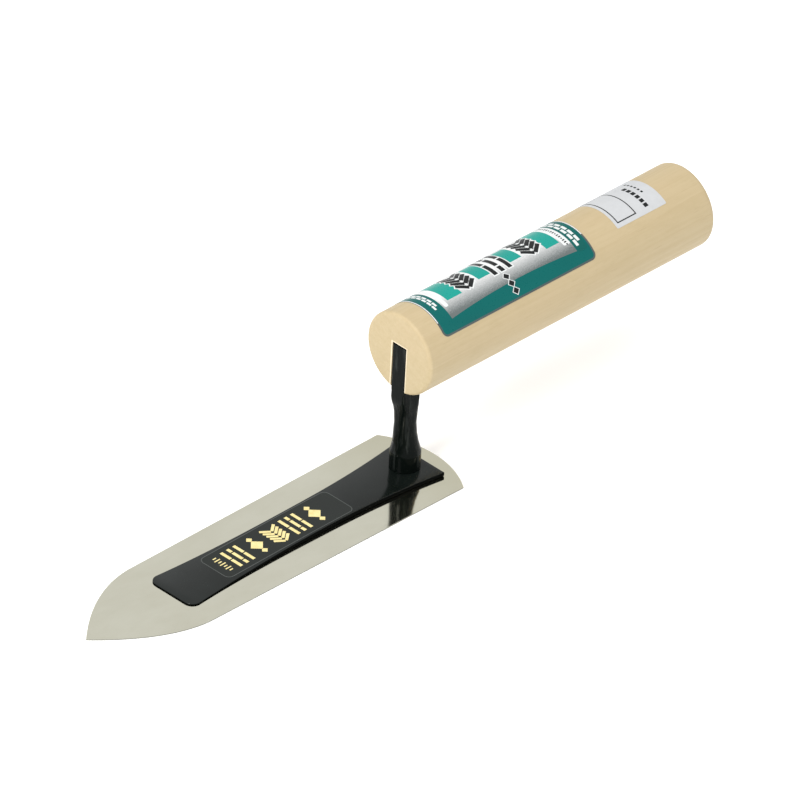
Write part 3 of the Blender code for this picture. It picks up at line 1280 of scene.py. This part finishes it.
@dataclass
class Handle:
    """A plain turned cylinder with eased ends, slotted for the neck and bored for the tang."""

    span: Span
    wood: Material
    # a lighter copy of the wood: painted highlight round the slot's mouth
    mouth_highlight_wood: Material
    front_rim: float = 1.2 * MM
    butt_rim: float = 2.0 * MM
    rim_steps: int = 9
    support: float = 0.12 * MM
    segments: int = 144
    slot_half_width: float = 3.3 * MM
    slot_rear_x: float = 1.95 * MM
    slot_ceiling_z: float = 53.7 * MM
    mouth_depth: float = 0.09 * MM
    mouth_flare: float = 0.45 * MM
    bore_half: float = 3.3 * MM
    bore_rear_x: float = 84.0 * MM

    def turned(self) -> BMesh:
        """The cylinder, turned from half its outline.

        Returns:
            A closed bmesh.
        """
        x0, x1, radius = self.span.x0, self.span.x1, self.span.radius
        pen = Pen(x0)
        pen.line_to(x0, radius - self.front_rim - self.support)
        pen.line_to(x0, radius - self.front_rim)
        pen.turn((x0 + self.front_rim, radius - self.front_rim), -90.0, self.rim_steps)
        pen.line_to(x0 + self.front_rim + self.support, radius)
        pen.line_to(x1 - self.butt_rim - self.support, radius)
        pen.line_to(x1 - self.butt_rim, radius)
        pen.turn((x1 - self.butt_rim, radius - self.butt_rim), -90.0, self.rim_steps)
        pen.line_to(x1, radius - self.butt_rim - self.support)
        pen.line_to(x1, 0.0)
        bm = pen.bm
        bmesh.ops.spin(
            bm,
            geom=bm.verts[:] + bm.edges[:],
            cent=(0.0, 0.0, 0.0),
            axis=(1.0, 0.0, 0.0),
            angle=math.tau,
            steps=self.segments,
            use_merge=True,
            use_duplicate=False,
        )
        bmesh.ops.rotate(bm, verts=bm.verts[:], matrix=Matrix.Rotation(math.pi / 2, 3, "X"))
        bmesh.ops.remove_doubles(bm, verts=bm.verts[:], dist=FINE_WELD)
        bmesh.ops.translate(bm, verts=bm.verts[:], vec=(0.0, 0.0, self.span.axis_z))
        bmesh.ops.recalc_face_normals(bm, faces=bm.faces[:])
        return bm

    def carve(self, bm: BMesh, low: Vector, high: Vector, flare: float = 0.0) -> BMesh:
        """Cut a box out of the wood.

        Args:
            bm: the wood.
            low: the box's lowest corner.
            high: its highest corner.
            flare: how much wider and higher the box is at its front.

        Returns:
            The wood that is left.
        """
        middle = (low + high) / 2
        cutter = bmesh.new()
        matrix = Matrix.Translation(middle) @ Matrix.Diagonal((*(high - low), 1.0))
        bmesh.ops.create_cube(cutter, size=1.0, matrix=matrix)
        for vert in cutter.verts:
            if vert.co.x < middle.x:
                vert.co.y += math.copysign(flare, vert.co.y - middle.y)
                vert.co.z += math.copysign(flare, vert.co.z - middle.z)
        objects = []
        for name, source in (("wood_blank", bm), ("wood_cutter", cutter)):
            mesh = bpy.data.meshes.new(name)
            source.to_mesh(mesh)
            source.free()
            objects.append(bpy.data.objects.new(name, mesh))
            bpy.context.scene.collection.objects.link(objects[-1])
        cut = objects[0].modifiers.new("cut", "BOOLEAN")
        cut.operation, cut.solver, cut.object = "DIFFERENCE", "EXACT", objects[1]
        carved = bmesh.new()
        carved.from_object(objects[0], bpy.context.evaluated_depsgraph_get())
        for obj in objects:
            mesh = obj.data
            bpy.data.objects.remove(obj)
            bpy.data.meshes.remove(mesh)
        return carved

    def mark_mouth(self, bm: BMesh) -> None:
        """Give the lighter wood, a painted highlight, to the slanting faces round the slot's mouth.

        Args:
            bm: the slotted handle.
        """
        reach = self.slot_half_width + self.mouth_flare
        slant_least, slant_most = 0.5, 0.999
        for face in bm.faces:
            middle, normal = face.calc_center_median(), face.normal
            slanting = slant_least < -normal.x < slant_most
            beside = abs(middle.y) < reach and middle.z < self.slot_ceiling_z + self.mouth_flare
            if slanting and beside and middle.x < self.span.x0 + self.mouth_depth:
                face.material_index = 1

    def build(self) -> None:
        """Make the handle."""
        floor_z = self.span.z0 - self.span.radius
        half = self.slot_half_width
        bm = self.carve(
            self.turned(),
            Vector((self.span.x0 - self.span.radius, -half, floor_z)),
            Vector((self.slot_rear_x, half, self.slot_ceiling_z)),
        )
        half, z = self.bore_half, self.span.axis_z
        bm = self.carve(
            bm,
            Vector((self.slot_rear_x - half, -half, z - half)),
            Vector((self.bore_rear_x, half, z + half)),
        )
        depth, flare = self.mouth_depth, self.mouth_flare
        bm = self.carve(
            bm,
            Vector((self.span.x0 - depth, -self.slot_half_width, floor_z)),
            Vector((self.span.x0 + depth, self.slot_half_width, self.slot_ceiling_z)),
            2 * flare,
        )
        bm.normal_update()
        self.mark_mouth(bm)
        publish(bm, Label("handle_grip", "handle_wood", ("handle",)), self.wood, self.mouth_highlight_wood)


# Labels on the handle


class Layer(Enum):
    """The underside and upper side of each printed layer, in millimetres off the wood."""

    BASE = (0.005, 0.07)
    FIELD = (0.06, 0.085)
    PANEL = (0.075, 0.1)
    REAR_BAND = (0.075, 0.095)
    END_MARKS = (0.085, 0.115)
    BANDS = (0.09, 0.11)
    TILES = (0.09, 0.112)
    HALO = (0.1, 0.125)
    MARK = (0.115, 0.138)
    PAPER = (0.005, 0.09)
    PRINT = (0.08, 0.11)


@dataclass
class Wrap:
    """Bends a flat drawing round the handle: X stays, Y runs round it and Z is the height off it."""

    axis_z: float
    radius: float
    segments: int = 144

    def along(self, near_deg: float) -> float:
        """The drawing's Y for an angle from the handle's top line, positive towards the near side."""
        return -math.radians(near_deg) * self.radius

    def bend(self, bm: BMesh, layer: Layer) -> None:
        """Thicken a drawing and bend it.

        Args:
            bm: the flat drawing.
            layer: how high it lies off the handle.
        """
        low, high = (height * MM for height in layer.value)
        ys = [vert.co.y for vert in bm.verts]
        pitch = math.tau * self.radius / self.segments
        slice_along(bm, 1, steps_between(min(ys), max(ys), pitch))
        thicken(bm, low, high)
        for vert in bm.verts:
            angle, reach = vert.co.y / self.radius, self.radius + vert.co.z
            vert.co.y = reach * math.sin(angle)
            vert.co.z = self.axis_z + reach * math.cos(angle)


@dataclass
class LabelInks:
    """The finishes that the two handle labels share."""

    # dark rim: painted shade and dark reflection along the foil's edge
    outline: Material
    field: Material
    end_field: Material
    silver: Material
    tile: Material
    white: Material
    black: Material
    paper: Material


@dataclass(frozen=True)
class BrickCourse:
    """Two rows of small bricks across one end of the long label."""

    name: str
    x: float
    pitch: float
    row_pitch: float
    count: int
    brick_share: Point = (0.7, 0.8)  # of the rows' pitch and of the bricks' pitch

    def draw(self, middle: float) -> Sketch:
        """The bricks, each row shifted by half a brick from the other.

        Args:
            middle: the drawing's Y that they are centred on.

        Returns:
            The drawing.
        """
        drawing = Sketch()
        size = (self.row_pitch * self.brick_share[0], self.pitch * self.brick_share[1])
        for i in range(self.count):
            for side in (-0.5, 0.5):
                y = middle + (i - (self.count - 1) / 2 + side / 2) * self.pitch
                drawing.bar((self.x + side * self.row_pitch, y), size)
        return drawing


@dataclass
class HandleLabel:
    """The long foil label: a silver panel with ornaments on a teal field."""

    span: Span
    wrap: Wrap
    inks: LabelInks
    near_deg: float = 55.0
    far_deg: float = 80.0
    middle_deg: float = -12.5
    corner: float = 2.2 * MM
    # width of the dark rim painted as the foil edge's shade
    outline: float = 0.7 * MM
    panel_x: Point = (9.7 * MM, 69.7 * MM)
    panel_half: Triple = (13.3 * MM, 11.56 * MM, 12.9 * MM)
    panel_steps: int = 30
    tiles: tuple[Triple, ...] = (
        (16.7 * MM, 7.0 * MM, 6.72 * MM),
        (32.45 * MM, 5.5 * MM, 5.1 * MM),
        (47.45 * MM, 5.5 * MM, 4.97 * MM),
        (63.2 * MM, 6.0 * MM, 7.12 * MM),
    )
    marks: tuple[tuple[float, Emblem], ...] = (
        (24.4 * MM, Emblem.HERRINGBONE),
        (40.0 * MM, Emblem.BOND),
        (55.6 * MM, Emblem.HERRINGBONE),
    )
    mark_size: Point = (8.6 * MM, 13.4 * MM)
    mark_stroke: float = 1.75 * MM
    mark_halo: float = 0.45 * MM
    diamond_x: float = 39.0 * MM
    diamond_degs: Triple = (21.5, 32.5, 43.5)
    diamond_side: float = 1.9 * MM
    diamond_halo: float = 0.25 * MM
    bands: tuple[Triple, ...] = ((11.2 * MM, 1.7 * MM, 20.0), (68.2 * MM, 3.0 * MM, 22.0))
    band_corner: float = 0.6 * MM
    # white lines along the label's ends: painted highlight on the foil's edge
    edge_highlight: float = 0.4 * MM
    edge_highlight_inset: float = 0.3 * MM
    edge_highlight_degs: Point = (34.0, 18.0)
    rear_band: Triple = (72.2 * MM, 4.2 * MM, 38.0)
    rear_band_corner: float = 0.5 * MM
    courses: tuple[BrickCourse, ...] = (
        BrickCourse("front", 7.3 * MM, 2.5 * MM, 1.25 * MM, 6),
        BrickCourse("rear", 72.2 * MM, 3.1 * MM, 1.65 * MM, 7),
    )
    dark_count: int = 19
    dark_pitch: float = 1.0 * MM
    dark_lengths: Triple = (0.6 * MM, 1.0 * MM, 1.0 * MM)
    dark_width: float = 0.5 * MM

    @property
    def middle(self) -> float:
        """The drawing's Y of the line that the panel and its ornaments are centred on."""
        return self.wrap.along(self.middle_deg)

    def half_to(self, near_deg: float) -> float:
        """Half the length of a band that is centred on the middle line and ends at an angle."""
        return self.middle - self.wrap.along(near_deg)

    def sheet(self, inset: float) -> Sketch:
        """The label's own shape.

        Args:
            inset: how much smaller it is drawn.

        Returns:
            The drawing.
        """
        near, far = self.wrap.along(self.near_deg), self.wrap.along(-self.far_deg)
        drawing = Sketch()
        centre = ((self.span.x0 + self.span.x1) / 2, (near + far) / 2)
        size = (self.span.x1 - self.span.x0 - 2 * inset, far - near - 2 * inset)
        drawing.bar(centre, size, 0.0, self.corner - inset)
        return drawing

    def emit(self, name: str, bm: BMesh, layer: Layer, finish: Material, *replaced: str) -> None:
        """Wrap a drawing round the handle and make it a piece.

        Args:
            name: the piece's name.
            bm: the flat drawing.
            layer: how high it lies.
            finish: its finish.
            *replaced: the CAD nodes that it stands for.
        """
        self.wrap.bend(bm, layer)
        publish(bm, Label(name, "label_foil", replaced), finish)

    def panel(self) -> BMesh:
        """The silver panel: straight ends and hollow long sides.

        Returns:
            A flat bmesh.
        """
        x0, x1 = self.panel_x
        front, middle, rear = self.panel_half
        sag = (front + rear) / 2 - middle
        pen = Pen(x0)
        pen.line_to(x0, front)
        for i in range(1, self.panel_steps + 1):
            t = i / self.panel_steps
            base = front + (rear - front) * t
            pen.line_to(x0 + (x1 - x0) * t, base - sag * 4 * t * (1 - t))
        pen.line_to(x1, 0.0)
        bm = pen.mirrored_face()
        bmesh.ops.translate(bm, verts=bm.verts[:], vec=(0.0, self.middle, 0.0))
        return bm

    def build_grounds(self) -> None:
        """Make the dark outline, painted shade and dark reflection of the foil's edge, then the field and
        the silver panel.
        """
        inks = self.inks
        self.emit("handle_label_base", self.sheet(0.0).bm, Layer.BASE, inks.outline, "handle_label")
        self.emit("handle_label_field", self.sheet(self.outline).bm, Layer.FIELD, inks.field)
        self.emit("handle_label_panel", self.panel(), Layer.PANEL, inks.silver)

    def build_tiles(self) -> None:
        """Make the lighter tiles and the bold black ornaments between them."""
        inks = self.inks
        tiles = Sketch()
        for x, width, half in self.tiles:
            tiles.bar((x, self.middle), (width, 2 * half))
        self.emit("handle_label_tiles", tiles.bm, Layer.TILES, inks.tile)

        for number, (x, kind) in enumerate(self.marks, 1):
            halo, mark = Sketch(), Sketch()
            halo.emblem(kind, (x, self.middle), self.mark_size, self.mark_stroke, self.mark_halo)
            self.emit(f"label_mark_{number}_halo", halo.bm, Layer.HALO, inks.white)
            mark.emblem(kind, (x, self.middle), self.mark_size, self.mark_stroke)
            self.emit(f"label_mark_{number}", mark.bm, Layer.MARK, inks.black)

        for name, grow, layer, ink in (
            ("diamonds_halo", self.diamond_halo, Layer.HALO, inks.white),
            ("diamonds", 0.0, Layer.MARK, inks.black),
        ):
            row = Sketch()
            for near_deg in self.diamond_degs:
                side = self.diamond_side + 2 * grow
                row.bar((self.diamond_x, self.wrap.along(near_deg)), (side, side), 45.0)
            self.emit(f"label_{name}", row.bm, layer, ink)

    def build_bands(self) -> None:
        """Make the bands, the painted highlights along the label's two ends and the small marks at both
        ends.
        """
        inks = self.inks
        lines = Sketch()
        for x, thick, near_deg in self.bands:
            lines.bar((x, self.middle), (thick, 2 * self.half_to(near_deg)), 0.0, self.band_corner)
        # white lines just inside both ends: painted highlight on the foil's edge
        ends = (self.span.x0 + self.edge_highlight_inset, self.span.x1 - self.edge_highlight_inset)
        for x, near_deg in zip(ends, self.edge_highlight_degs):
            lines.bar((x, self.middle), (self.edge_highlight, 2 * self.half_to(near_deg)))
        self.emit("handle_label_bands_and_edge_highlights", lines.bm, Layer.BANDS, inks.white)

        band = Sketch()
        x, thick, near_deg = self.rear_band
        band.bar((x, self.middle), (thick, 2 * self.half_to(near_deg)), 0.0, self.rear_band_corner)
        self.emit("handle_label_rear_band", band.bm, Layer.REAR_BAND, inks.end_field)

        for course in self.courses:
            bricks = course.draw(self.middle)
            self.emit(f"label_{course.name}_marks", bricks.bm, Layer.END_MARKS, inks.white)

        marks = Sketch()
        for i in range(self.dark_count):
            y = self.middle + (i - (self.dark_count - 1) / 2) * self.dark_pitch
            marks.bar((self.bands[1][0], y), (self.dark_lengths[i % 3], self.dark_width))
        self.emit("handle_label_dark_marks", marks.bm, Layer.HALO, inks.black)

    def build(self) -> None:
        """Make the whole label."""
        self.build_grounds()
        self.build_tiles()
        self.build_bands()


@dataclass
class NameLabel:
    """The small paper label near the butt, with an empty box to write in."""

    span: Span
    wrap: Wrap
    inks: LabelInks
    near_deg: float = 35.0
    far_deg: float = 50.0
    corner: float = 0.5 * MM
    box_x: Point = (90.9 * MM, 99.5 * MM)
    box_near_deg: float = 28.0
    line: float = 0.42 * MM
    row_count: int = 6
    squares_x: float = 105.2 * MM
    squares_near_deg: float = 24.0
    squares_pitch: float = 2.1 * MM
    squares_size: Point = (1.7 * MM, 1.5 * MM)
    dots_x: float = 108.4 * MM
    dots_near_deg: float = 4.0
    dots_pitch_deg: float = 6.0
    dots_size: Point = (0.8 * MM, 0.9 * MM)

    def build_paper(self, middle: float) -> None:
        """Make the paper.

        Args:
            middle: the drawing's Y of the label's middle line.
        """
        paper = Sketch()
        centre = ((self.span.x0 + self.span.x1) / 2, middle)
        length = self.wrap.along(-self.far_deg) - self.wrap.along(self.near_deg)
        paper.bar(centre, (self.span.x1 - self.span.x0, length), 0.0, self.corner)
        self.wrap.bend(paper.bm, Layer.PAPER)
        publish(paper.bm, Label("name_label_paper", "label_paper", ("name_label",)), self.inks.paper)

    def build_print(self, middle: float) -> None:
        """Make the empty box and the two rows of marks.

        Args:
            middle: the drawing's Y of the label's middle line.
        """
        ink = Sketch()
        x0, x1 = self.box_x
        half = middle - self.wrap.along(self.box_near_deg)
        for x in (x0, x1):
            ink.bar((x, middle), (self.line, 2 * half + self.line))
        for side in (-1, 1):
            ink.bar(((x0 + x1) / 2, middle + side * half), (x1 - x0, self.line))
        first_y = self.wrap.along(self.squares_near_deg)
        for i in range(self.row_count):
            ink.bar((self.squares_x, first_y + self.squares_pitch * i), self.squares_size)
        for i in range(self.row_count):
            near_deg = self.dots_near_deg - self.dots_pitch_deg * i
            ink.bar((self.dots_x, self.wrap.along(near_deg)), self.dots_size)
        self.wrap.bend(ink.bm, Layer.PRINT)
        publish(ink.bm, Label("name_label_print", "label_paper"), self.inks.black)

    def build(self) -> None:
        """Make the whole label."""
        middle = (self.wrap.along(self.near_deg) + self.wrap.along(-self.far_deg)) / 2
        self.build_paper(middle)
        self.build_print(middle)


# Studio


@dataclass(frozen=True)
class Lamp:
    """A round soft light that faces the origin."""

    name: str
    direction: Triple
    watts: float
    size: float
    mirrored: bool = True  # whether the polished steel shows it
    distance: float = 1.3

    def build(self) -> None:
        """Hang the light."""
        light = bpy.data.lights.new(self.name, "AREA")
        light.energy = self.watts
        light.shape = "DISK"
        light.size = self.size
        lamp = bpy.data.objects.new(self.name, light)
        lamp.location = Vector(self.direction).normalized() * self.distance
        lamp.rotation_euler = (-lamp.location).to_track_quat("-Z", "Y").to_euler()
        lamp.visible_glossy = self.mirrored
        bpy.context.scene.collection.objects.link(lamp)


@dataclass
class Studio:
    """A plain white floor, soft light and the camera."""

    azimuth_deg: float = -46.6
    elevation_deg: float = 34.65
    roll_deg: float = 3.0
    target: Triple = (-3.68 * MM, 0.23 * MM, 30.42 * MM)
    frame_width: float = 269.8 * MM
    lens: float = 1500.0
    sensor: float = 36.0
    clip_end: float = 30.0
    floor_gap: float = 0.2 * MM
    floor_size: float = 6.0
    floor_white: Color = (0.96, 0.96, 0.96)
    floor_glow: float = 0.16
    sky: Color = (1.0, 1.0, 1.0)
    sky_strength: float = 0.75
    lamps: tuple[Lamp, ...] = (
        Lamp("key", (-0.8, -0.12, 0.62), 9.4, 0.5),
        Lamp("top", (0.0, 0.0, 1.0), 9.4, 2.0, mirrored=False),
        Lamp("glint", (0.43, -0.71, 0.54), 0.45, 0.2),
    )

    def build_floor(self) -> None:
        """Lay the floor just under the blade."""
        bm = bmesh.new()
        bmesh.ops.create_grid(bm, x_segments=1, y_segments=1, size=self.floor_size / 2)
        bmesh.ops.translate(bm, verts=bm.verts[:], vec=(0.0, 0.0, -self.floor_gap))
        mesh = bpy.data.meshes.new("studio_floor")
        bm.to_mesh(mesh)
        bm.free()
        sheet = NodeSheet("floor_white")
        white = with_alpha(self.floor_white)
        sheet.shade(Base_Color=white, Roughness=0.9, Specular_IOR_Level=0.1)
        sheet.shade(Emission_Color=white, Emission_Strength=self.floor_glow)
        mesh.materials.append(sheet.material)
        floor = bpy.data.objects.new("studio_floor", mesh)
        bpy.context.scene.collection.objects.link(floor)

    def build_light(self) -> None:
        """Make the pale surroundings and soft lights."""
        scene = bpy.context.scene
        world = bpy.data.worlds.new("studio")
        world.use_nodes = True
        back = world.node_tree.nodes["Background"]
        back.inputs["Color"].default_value = with_alpha(self.sky)
        back.inputs["Strength"].default_value = self.sky_strength
        scene.world = world
        scene.view_settings.view_transform = "Standard"
        for lamp in self.lamps:
            lamp.build()

    def build_camera(self) -> None:
        """Stand the camera far off with a long lens, so that parallels stay parallel."""
        azimuth, elevation = math.radians(self.azimuth_deg), math.radians(self.elevation_deg)
        back = Vector((
            math.sin(azimuth) * math.cos(elevation),
            -math.cos(azimuth) * math.cos(elevation),
            math.sin(elevation),
        ))
        data = bpy.data.cameras.new("camera")
        data.lens = self.lens
        data.sensor_width = self.sensor
        data.clip_end = self.clip_end
        camera = bpy.data.objects.new("camera", data)
        distance = self.frame_width * self.lens / self.sensor
        camera.rotation_mode = "QUATERNION"
        aim = (-back).to_track_quat("-Z", "Y").to_matrix().to_4x4()
        roll = Matrix.Rotation(math.radians(self.roll_deg), 4, "Z")
        camera.rotation_quaternion = (aim @ roll).to_quaternion()
        camera.location = Vector(self.target) + back * distance
        bpy.context.scene.collection.objects.link(camera)
        bpy.context.scene.camera = camera

    def build(self) -> None:
        """Make the whole studio."""
        self.build_floor()
        self.build_light()
        self.build_camera()


def label_inks() -> LabelInks:
    """The finishes of the handle's labels.

    Returns:
        All of them, built.
    """
    return LabelInks(
        # dark rim colour: painted shade and dark reflection of the foil's edge
        outline=PrintedFoil("label_edge_painted_shade", (0.07, 0.09, 0.09), (0.085, 0.105, 0.105)).build(),
        field=PrintedFoil("label_teal", (0.003, 0.122, 0.112), (0.004, 0.106, 0.100), metallic=0.1).build(),
        end_field=PrintedFoil(
            "label_dark_teal", (0.005, 0.112, 0.1), (0.006, 0.096, 0.086), metallic=0.1
        ).build(),
        silver=SilverFade().build(),
        tile=PrintedFoil(
            "label_light_teal", (0.012, 0.315, 0.262), (0.016, 0.280, 0.235), metallic=0.1
        ).build(),
        white=PrintedFoil("label_white", (0.70, 0.72, 0.715), (0.66, 0.68, 0.675)).build(),
        black=PrintedFoil("label_black", (0.012, 0.014, 0.014), (0.016, 0.018, 0.018)).build(),
        paper=Paper().build(),
    )


def main() -> None:
    """Load the frame and build every sub-assembly around it."""
    logging.basicConfig(level=logging.INFO, format="%(name)s: %(message)s")
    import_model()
    blade, plate, neck, handle = (Span.of(node) for node in ("blade", "back_plate", "neck", "handle"))
    Studio().build()
    Blade(blade, PolishedSteel().build(), ShearedSteel().build()).build()
    BackPlate(
        shape=PlateShape(plate),
        blade=blade,
        sticker=Span.of("plate_sticker"),
        paint=BlackEnamel("plate_enamel", specular=0.36).build(),
        # darker, matt copy of the plate enamel: painted shade on the upright sides
        shaded_side_paint=BlackEnamel(
            "plate_side_painted_shade",
            color=(0.0015, 0.0020, 0.0018),
            streak_highlight=(0.0025, 0.003, 0.0028),
            roughness=(0.5, 0.6),
            specular=0.03,
        ).build(),
        # dark glue, given the same near-black matt finish as the plate's shaded sides, so it carries their
        # painted shade
        glue=PrintedFoil(
            "bond_glue",
            color=(0.004, 0.004, 0.004),
            drift=(0.006, 0.006, 0.005),
            roughness=(0.5, 0.6),
            specular=0.03,
        ).build(),
        film=PrintedFoil(
            "clear_film",
            color=(0.0060, 0.0090, 0.0070),
            drift=(0.0075, 0.0105, 0.0085),
            roughness=(0.1, 0.14),
            specular=0.34,
        ).build(),
        # pale grey rim of the film: painted highlight
        film_rim_highlight=PrintedFoil(
            "film_rim_highlight", color=(0.06, 0.066, 0.063), drift=(0.075, 0.08, 0.077), roughness=(0.2, 0.3)
        ).build(),
        gold=GoldPrint().build(),
    ).build()
    # the neck's lighter streaks are a painted highlight
    enamel = BlackEnamel(
        "neck_enamel",
        color=(0.0025, 0.0040, 0.0033),
        streak_highlight=(0.018, 0.021, 0.019),
        stretch=(520.0, 520.0, 85.0),
        streak_range=(0.56, 0.70),
        streak_depth=0.16 * MM,
        specular=0.055,
    )
    Neck(neck, plate, enamel.build()).build()
    # lighter copy of the wood: painted highlight on the slot's mouth
    highlight_wood = PaleWood(
        "mouth_highlight_wood",
        light=(0.80, 0.69, 0.50),
        late=(0.76, 0.64, 0.44),
        fibre=(0.72, 0.60, 0.40),
        warm=(0.78, 0.66, 0.47),
    )
    Handle(handle, PaleWood().build(), highlight_wood.build()).build()
    wrap = Wrap(handle.axis_z, handle.radius)
    inks = label_inks()
    HandleLabel(Span.of("handle_label"), wrap, inks).build()
    NameLabel(Span.of("name_label"), wrap, inks).build()


if __name__ == "__main__":
    main()
